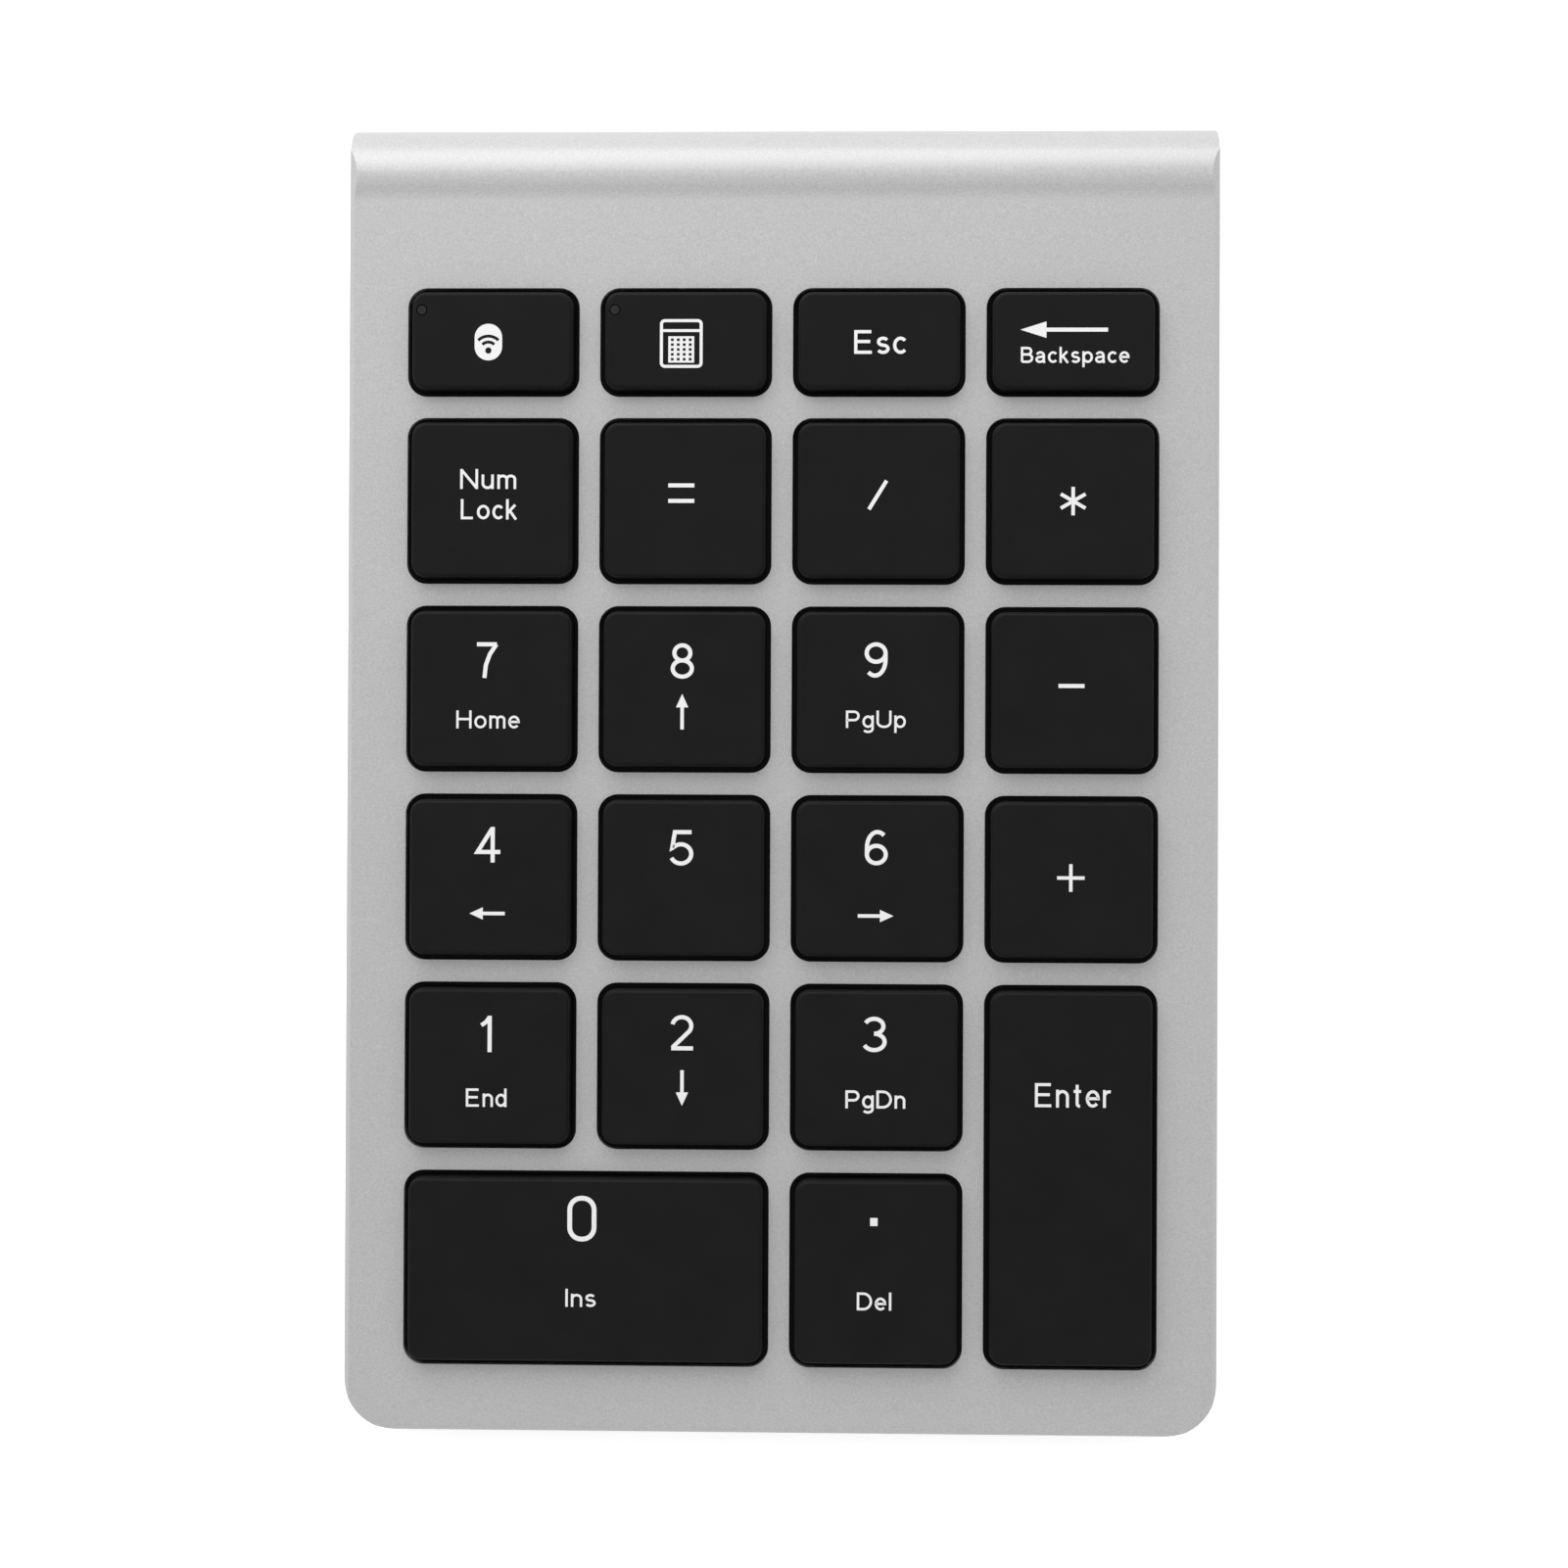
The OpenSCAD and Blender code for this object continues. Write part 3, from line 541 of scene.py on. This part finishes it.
def keycap(key):
    """Hollow cap with a flange under the deck and a rounded upper edge."""
    x, y, width, length = opening_of(key)
    w, d, r = width - 2 * KEY_GAP, length - 2 * KEY_GAP, OPENING_CORNER - KEY_GAP
    flange, edge_steps, flat_rim = -FLANGE_REACH - KEY_GAP, 8, 0.1

    def ring(inset, z):
        corner = max(r - inset, LEAST_CORNER)
        return at_height(rounded_rect(w - 2 * inset, d - 2 * inset, corner, x, y), z)

    rings = [ring(CAP_WALL, KEY_TOP - CAP_ROOF), ring(CAP_WALL, CAP_BOTTOM),
             ring(flange, CAP_BOTTOM), ring(flange, FLANGE_TOP), ring(0, FLANGE_TOP), ring(0, LEAN_FROM)]
    for k in range(edge_steps + 1):
        a = math.radians(90 * k / edge_steps)
        rings.append(ring(CAP_LEAN + CAP_EDGE * (1 - math.cos(a)),
                          KEY_TOP - CAP_EDGE * (1 - math.sin(a))))
    rings.append(ring(CAP_LEAN + CAP_EDGE + flat_rim, KEY_TOP))
    solid = Solid()
    solid.loft(rings)
    add_stem(solid, x, y)
    if key in ("key_0", "key_enter"):
        add_stabiliser_lugs(solid, key, x, y)
    return solid.piece("cap_" + key[4:], FINISHES["black_key"], key, "black_key", replaces=[key])


def drill(obj, lens):
    """Cuts the hole that the indicator lens stands in."""
    low, high = deck_box(lens)
    x, y = (low[:2] + high[:2]) / 2
    cutter = Solid()
    past = 0.4
    radius = (high[0] - low[0]) / 2 + LENS_GAP
    cutter.prism(circle(x, y, radius), KEY_TOP - CAP_ROOF - past, KEY_TOP + past)
    tool = cutter.piece("drill", FINISHES["black_key"], "case")
    cut = obj.modifiers.new("lens_hole", "BOOLEAN")
    cut.operation, cut.object, cut.solver = "DIFFERENCE", tool, "EXACT"
    bpy.context.view_layer.update()
    shaped = bpy.data.meshes.new_from_object(obj.evaluated_get(bpy.context.evaluated_depsgraph_get()))
    shaped.set_sharp_from_angle(angle=math.radians(30))
    obj.modifiers.clear()
    obj.data = shaped
    bpy.data.objects.remove(tool)


# ---- legends ---------------------------------------------------------------

def arc(cx, cy, rx, ry, start, end):
    steps = max(2, round(abs(end - start) / 11))
    return [(cx + rx * math.cos(math.radians(start + (end - start) * k / steps)),
             cy + ry * math.sin(math.radians(start + (end - start) * k / steps)))
            for k in range(steps + 1)]


def loop(cx, cy, rx, ry):
    return arc(cx, cy, rx, ry, 0, 360)


def upside_down(strokes, width):
    return [[(width - x, 1 - y) for x, y in s] for s in strokes]


SIX = [loop(.34, .31, .26, .24), arc(.37, .50, .29, .43, 52, 180) + [(.08, .31)]]
LOW = .3625  # middle of the small letters

# pen strokes of each sign, for a capital height of 1
SIGNS = {
    "1": [[(.40, 0), (.40, 1)], [(.17, .74), (.30, .83), (.40, .97)]],
    "2": [arc(.34, .69, .26, .24, 170, -40) + [(.08, .09)], [(.05, .07), (.65, .07)]],
    "3": [arc(.31, .725, .255, .205, 155, -90), arc(.31, .295, .29, .225, 90, -155)],
    "4": [[(.48, 0), (.48, .98)], [(.46, .93), (.06, .29), (.69, .29)]],
    "5": [[(.62, .93), (.16, .93), (.09, .49)] + arc(.33, .33, .285, .265, 140, -155)],
    "6": SIX,
    "7": [[(.06, .93), (.61, .93)], [(.60, .93), (.42, .66), (.31, .36), (.27, 0)]],
    "8": [loop(.34, .72, .22, .21), loop(.34, .29, .265, .225)],
    "9": upside_down(SIX, .68),
    "B": [[(.08, .07), (.08, .93), (.38, .93)] + arc(.38, .73, .20, .20, 90, -90),
          [(.08, .53), (.40, .53)] + arc(.40, .30, .23, .23, 90, -90) + [(.08, .07)]],
    "D": [[(.08, .07), (.08, .93), (.34, .93)] + arc(.34, .5, .37, .43, 90, -90) + [(.08, .07)]],
    "E": [[(.66, .93), (.08, .93), (.08, .07), (.68, .07)], [(.08, .52), (.62, .52)]],
    "H": [[(.08, 0), (.08, 1)], [(.70, 0), (.70, 1)], [(.08, .52), (.70, .52)]],
    "I": [[(.08, 0), (.08, 1)]],
    "L": [[(.08, 1), (.08, .07), (.58, .07)]],
    "N": [[(.08, 0), (.08, 1)], [(.08, .96), (.70, .04)], [(.70, 0), (.70, 1)]],
    "P": [[(.08, 0), (.08, .93), (.42, .93)] + arc(.42, .69, .22, .24, 90, -90) + [(.08, .45)]],
    "U": [[(.08, 1), (.08, .34)] + arc(.39, .34, .31, .27, 180, 360) + [(.70, 1)]],
    "a": [arc(.27, .46, .19, .20, 160, 0) + [(.46, .10), (.50, 0)],
          [(.46, .41), (.28, .375)] + arc(.23, .215, .165, .15, 100, 270)
          + arc(.25, .27, .21, .205, 270, 350)],
    "c": [arc(.29, LOW, .22, .2925, 42, 318)],
    "d": [loop(.28, LOW, .22, .29), [(.50, 0), (.50, 1)]],
    "e": [[(.07, .37), (.51, .37)] + arc(.29, LOW, .22, .2925, 2, 318)],
    "g": [loop(.28, LOW, .22, .29),
          [(.50, .725), (.50, -.05)] + arc(.28, -.05, .22, .17, 0, -150)],
    "k": [[(.08, 0), (.08, 1)], [(.44, .72), (.08, .30)], [(.20, .42), (.48, 0)]],
    "l": [[(.08, 0), (.08, 1)]],
    "m": [[(.07, 0), (.07, .725)], arc(.235, .49, .165, .165, 180, 0) + [(.40, 0)],
          arc(.565, .49, .165, .165, 180, 0) + [(.73, 0)]],
    "n": [[(.07, 0), (.07, .725)], arc(.27, .44, .20, .215, 180, 0) + [(.47, 0)]],
    "o": [loop(.30, LOW, .235, .29)],
    "p": [[(.07, -.27), (.07, .725)], loop(.30, LOW, .22, .29)],
    "r": [[(.07, 0), (.07, .725)], arc(.27, .45, .20, .205, 180, 75)],
    "s": [arc(.25, .51, .17, .145, 30, 270), arc(.25, .215, .185, .15, 90, -155)],
    "t": [[(.17, .93), (.17, .16)] + arc(.27, .16, .10, .10, 180, 280), [(.03, .66), (.33, .66)]],
    "u": [[(.07, .725), (.07, .27)] + arc(.26, .27, .19, .21, 180, 360), [(.46, .725), (.46, 0)]],
}
LETTER_SPACE = 0.25


def quarter_turn(v):
    """Rows of 2-D vectors turned by 90 degrees."""
    return np.stack([-v[:, 1], v[:, 0]], 1)


class Legend(Solid):
    """Thin printed shapes on top of one key, drawn round the middle of its opening."""

    def __init__(self, key, layer=0.0):
        super().__init__()
        self.key = key
        self.x, self.y = opening_of(key)[:2]
        self.low, self.layer = KEY_TOP - INK_SUNK, layer

    def high(self):
        """Each shape ends a trifle higher, so that crossing strokes never share a face."""
        self.layer += LAYER_STEP
        return KEY_TOP + INK + self.layer

    def patch(self, outline):
        self.prism([(self.x + x, self.y + y) for x, y in outline], self.low, self.high())

    def pen(self, line, width):
        """Ribbon of a given width along a line; a line that ends where it starts is closed."""
        same, least_cosine = 1e-3, 0.45
        line = [line[0]] + [b for a, b in zip(line, line[1:]) if math.dist(a, b) > same]
        closed = math.dist(line[0], line[-1]) < same
        pts = np.array(line[:-1] if closed else line, float)
        step = np.roll(pts, -1, 0) - pts
        step /= np.linalg.norm(step, axis=1)[:, None]
        before = np.roll(step, 1, 0)
        if not closed:
            before[0], step[-1] = step[0], before[-1]
        middle = quarter_turn(before) + quarter_turn(step)
        middle /= np.linalg.norm(middle, axis=1)[:, None]
        reach = width / 2 / np.maximum((middle * quarter_turn(step)).sum(1), least_cosine)
        left, right = pts + middle * reach[:, None], pts - middle * reach[:, None]
        top = self.high()
        rings = [[(self.x + p[0], self.y + p[1], z) for p, z in
                  ((l, self.low), (r, self.low), (r, top), (l, top))] for l, r in zip(left, right)]
        (self.torus if closed else self.loft)(rings)

    def word(self, text, height, pen, width, x, y):
        """Text whose capitals fill height, squeezed to width and centred on x, y."""
        lines, cursor = [], 0.0
        for sign in text:
            points = [p for s in SIGNS[sign] for p in s]
            left, right = min(p[0] for p in points), max(p[0] for p in points)
            lines += [[(px - left + cursor, py) for px, py in s] for s in SIGNS[sign]]
            cursor += right - left + LETTER_SPACE
        across = (width - pen) / (cursor - LETTER_SPACE) if width else height
        middle = (cursor - LETTER_SPACE) / 2
        for line in lines:
            self.pen([(x + (px - middle) * across, y + (py - 0.5) * height) for px, py in line], pen)

    def arrow(self, x, y, length, head, spread, pen, turn):
        """Arrow centred on x, y that points left, turned by a number of degrees."""
        c, s = math.cos(math.radians(turn)), math.sin(math.radians(turn))

        def place(px, py):
            return x + px * c - py * s, y + px * s + py * c

        overlap, tip = 0.1, -length / 2
        self.patch([place(tip, 0), place(tip + head, -spread / 2), place(tip + head, spread / 2)])
        self.pen([place(tip + head - overlap, 0), place(length / 2, 0)], pen)

    def print(self, name, material, body):
        return self.piece(name, material, body, smooth=20)


# capital height, pen width and overall width of the digits
DIGIT = 3.64, 0.41, 0
# text, capital height, pen width, overall width (0: its own), centre x, centre y
WORDS = {
    "key_escape": [("Esc", 2.4, .32, 5.25, .1, -.2)],
    "key_backspace": [("Backspace", 1.6, .23, 10.85, .1, -1.5)],
    "key_num_lock": [("Num", 2.0, .26, 5.65, -.3, 2.05), ("Lock", 2.04, .26, 5.7, -.2, -1.0)],
    "key_7": [("7", *DIGIT, -.35, 2.85), ("Home", 1.8, .23, 6.4, -.2, -3.15)],
    "key_8": [("8", *DIGIT, -.15, 2.8)],
    "key_9": [("9", *DIGIT, -.2, 2.95), ("PgUp", 1.75, .23, 6.0, -.2, -3.0)],
    "key_4": [("4", *DIGIT, -.05, 3.3)],
    "key_5": [("5", *DIGIT, -.15, 3.05)],
    "key_6": [("6", *DIGIT, -.1, 3.15)],
    "key_1": [("1", *DIGIT, -.3, 3.25), ("End", 1.85, .24, 4.1, -.2, -3.15)],
    "key_2": [("2", *DIGIT, 0, 3.5)],
    "key_3": [("3", *DIGIT, -.2, 3.45), ("PgDn", 1.8, .25, 6.0, -.1, -3.06)],
    "key_enter": [("Enter", 2.45, .29, 7.7, .2, 8.4)],
    "key_0": [("Ins", 1.8, .24, 3.05, -.35, -2.75)],
    "key_decimal": [("Del", 1.8, .24, 3.45, -.15, -2.85)],
}
# length, length of the head, spread of the head and pen width of the cursor arrows
CURSOR = 3.57, 1.35, 1.23, .35
# centre x, centre y, turn of each cursor arrow
ARROWS = {"key_8": (-.15, -2.3, -90), "key_4": (-.2, -3.65, 0), "key_6": (-.15, -3.7, 180),
          "key_2": (0, -2.05, 90)}


def rect(x, y, w, h):
    return [(x - w / 2, y - h / 2), (x + w / 2, y - h / 2), (x + w / 2, y + h / 2),
            (x - w / 2, y + h / 2)]


def draw_signs(key, pen):
    """The marks of a key that aren't words."""
    if key == "key_backspace":
        pen.arrow(-1.0, 1.03, 8.75, 2.6, 1.65, .4, 0)
    elif key == "key_equals":
        for y in (-.78, .78):
            pen.patch(rect(-.33, .65 + y, 2.62, .4))
    elif key == "key_divide":
        pen.pen([(-.98, -.95), (.78, 1.93)], .38)
    elif key == "key_multiply":
        arm = 1.42
        for turn in (90, 30, 150):
            c, s = arm * math.cos(math.radians(turn)), arm * math.sin(math.radians(turn))
            pen.pen([(-.05 - c, -.1 - s), (-.05 + c, -.1 + s)], .35)
    elif key == "key_minus":
        pen.patch(rect(-.15, .4, 2.6, .4))
    elif key == "key_plus":
        pen.patch(rect(-.15, .2, 2.75, .34))
        pen.patch(rect(-.15, .2, .34, 2.75))
    elif key == "key_0":
        ring = rounded_rect(2.45, 4.1, 1.15, -.25, 5.2)
        pen.pen(ring + ring[:1], .47)
    elif key == "key_decimal":
        pen.patch(rect(-.2, 5.1, .74, .8))
    elif key == "key_calculator":
        frame_line = rounded_rect(4.0, 4.6, .35, -.4, -.35)
        pen.pen(frame_line + frame_line[:1], .3)
        pen.pen([(-2.35, .95), (1.55, .95)], .28)
        pen.patch(rect(-.4, -.95, 2.6, 2.65))
    elif key == "key_pair":
        pen.patch(rounded_rect(2.78, 3.7, 1.38, -.35, -.2))


def draw_dark_signs(key, pen):
    """Dark details inside the printed patches of the two icon keys."""
    if key == "key_calculator":
        for column in range(4):
            for row in range(5):
                pen.patch(rect(-.4 + (column - 1.5) * .6, -.95 + (row - 2) * .49, .28, .26))
    else:
        pen.patch(circle(-.35, -1.05, .32, 16))
        for radius in (.85, 1.45):
            pen.pen(arc(-.35, -1.05, radius, radius, 45, 135), .3)


def print_legends(key):
    """All marks of one key as one printed piece, and a dark one over the two icons."""
    pen = Legend(key)
    for text in WORDS.get(key, []):
        pen.word(*text)
    if key in ARROWS:
        x, y, turn = ARROWS[key]
        pen.arrow(x, y, *CURSOR, turn)
    draw_signs(key, pen)
    pen.print("legend_" + key[4:], INK_FINISH, key)
    if key in ("key_pair", "key_calculator"):
        dark = Legend(key, DARK_LAYER)
        draw_dark_signs(key, dark)
        dark.print("icon_" + key[4:], FINISHES["black_key"], key)


# ---- rubber domes ----------------------------------------------------------

def rubber_dome(key):
    """One dome under a key."""
    x, y = opening_of(key)[:2]
    bell = [(2.7, DOME_SHEET_BOTTOM), (2.7, -4.3), (2.62, -4.18), (1.6, -3.1), (1.5, -2.95),
            (1.45, -2.72), (1.38, -2.65), (0.02, -2.65), (0.02, -3.7), (.5, -3.7), (.55, -3.15),
            (1.05, -3.15), (2.1, -4.25), (1.9, DOME_SHEET_BOTTOM)]
    solid = Solid()
    solid.torus([at_height(circle(x, y, r, 28), z) for r, z in bell])
    dome = solid.piece("dome_" + key[4:], FINISHES["pale_rubber"], "case", "pale_rubber")
    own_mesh(dome)


def dome_base():
    """The flat sheet that the domes rise from."""
    low, high = deck_box("dome_sheet")
    centre, size = (low + high) / 2, high - low
    solid = Solid()
    solid.prism(rounded_rect(size[0], size[1], 1, centre[0], centre[1]),
                DOME_SHEET_BOTTOM, DOME_SHEET_TOP)
    solid.piece("dome_base", FINISHES["pale_rubber"], "case", "pale_rubber", replaces=["dome_sheet"])


# ---- camera, light and floor -----------------------------------------------

def aim(obj, eye, right, toward):
    """Puts obj at eye, looking against toward, with right on its right-hand side."""
    up = toward.cross(right)
    turn = Matrix((right, up, toward)).transposed().to_4x4()
    obj.matrix_world = Matrix.Translation(eye) @ turn


def make_camera():
    """Looks almost straight down on the deck; lengths in mm, leans and roll in degrees."""
    distance, side_lean, front_lean, roll = 300, 1.63, 0.38, 0.23
    looked_at = Vector((0.32, -0.77, 0))
    data = bpy.data.cameras.new("camera")
    data.lens, data.sensor_width = 68.3, 36
    data.clip_start, data.clip_end = 0.01, 20
    camera = bpy.data.objects.new("camera", data)
    bpy.context.scene.collection.objects.link(camera)
    toward = Vector((math.sin(math.radians(side_lean)), -math.sin(math.radians(front_lean)), 1))
    toward.normalize()
    eye = deck_point(*(looked_at + toward * distance))
    level = Vector((1, 0, 0))
    level = (level - toward * level.dot(toward)).normalized()
    level.rotate(Matrix.Rotation(math.radians(roll), 3, toward))
    spin = TILT.to_3x3()
    aim(camera, eye, spin @ level, spin @ toward)
    bpy.context.scene.camera = camera


def make_light():
    """Even white surroundings and one softbox above the rear edge, a little to the left."""
    world = bpy.data.worlds.new("studio")
    world.use_nodes = True
    world.node_tree.nodes["Background"].inputs["Color"].default_value = (1, 1, 1, 1)
    world.node_tree.nodes["Background"].inputs["Strength"].default_value = 0.84
    bpy.context.scene.world = world
    data = bpy.data.lights.new("softbox", "AREA")
    data.shape, data.size, data.size_y = "RECTANGLE", 0.75, 0.45
    data.energy = 3.4
    lamp = bpy.data.objects.new("softbox", data)
    bpy.context.scene.collection.objects.link(lamp)
    distance = 0.62
    toward = Vector((-0.2, 0.76, 0.62)).normalized()
    aim(lamp, toward * distance, Vector((0, 0, 1)).cross(toward).normalized(), toward)
    bpy.context.scene.view_settings.view_transform = "Standard"


def make_floor():
    """Wide plane a hair below the feet."""
    drop = 0.00005
    bpy.ops.mesh.primitive_plane_add(size=8, location=(0, 0, -drop))
    floor = bpy.context.object
    floor.name = "floor"
    floor.data.materials.append(floor_white())


make_camera()
make_light()
make_floor()
dress_cad_nodes()
dome_base()
for key in KEYS:
    cap = keycap(key)
    if key in ("key_pair", "key_calculator"):
        drill(cap, key.replace("key", "lens"))
    print_legends(key)
    rubber_dome(key)
